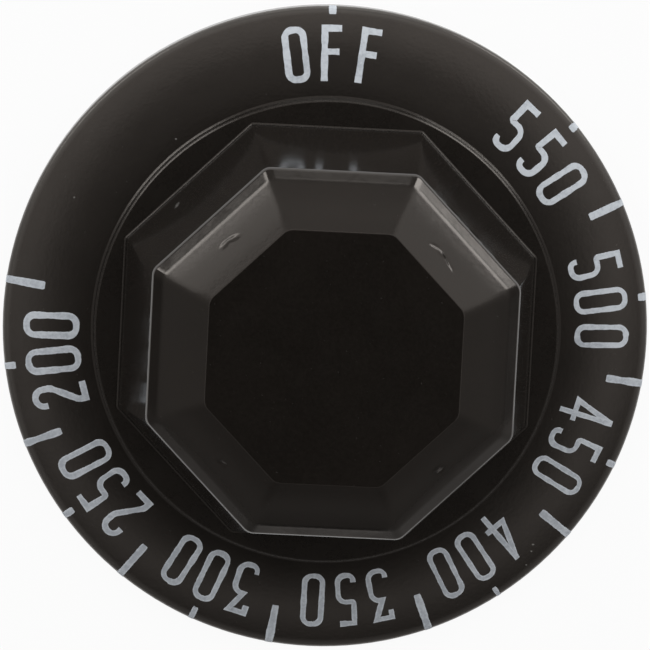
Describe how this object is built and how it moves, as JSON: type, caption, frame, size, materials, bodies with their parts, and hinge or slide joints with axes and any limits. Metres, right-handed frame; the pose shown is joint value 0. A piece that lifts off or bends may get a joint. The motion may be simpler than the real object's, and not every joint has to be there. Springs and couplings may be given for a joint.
{
  "type": "temperature dial",
  "caption": "Round black oven temperature dial: conical skirt for printed figures, raised step, eight-sided tapered grip, hollow back and a hub that pushes onto a shaft with a flat.",
  "frame": {"origin": "on the shaft axis, in the plane of the back rim that faces the control panel", "axes": "+Z out of the front of the dial along the shaft axis, +Y towards the side that carries OFF, +X to the right seen from the front"},
  "size_m": [0.0635, 0.0634, 0.0286],
  "materials": {
    "black_moulding": "satin",
    "spring_steel": "satin",
    "figure_ink": "matte"
  },
  "bodies": {
    "root": {"dial": "black_moulding", "shaft_spring": "spring_steel"}
  },
  "joints": []
}
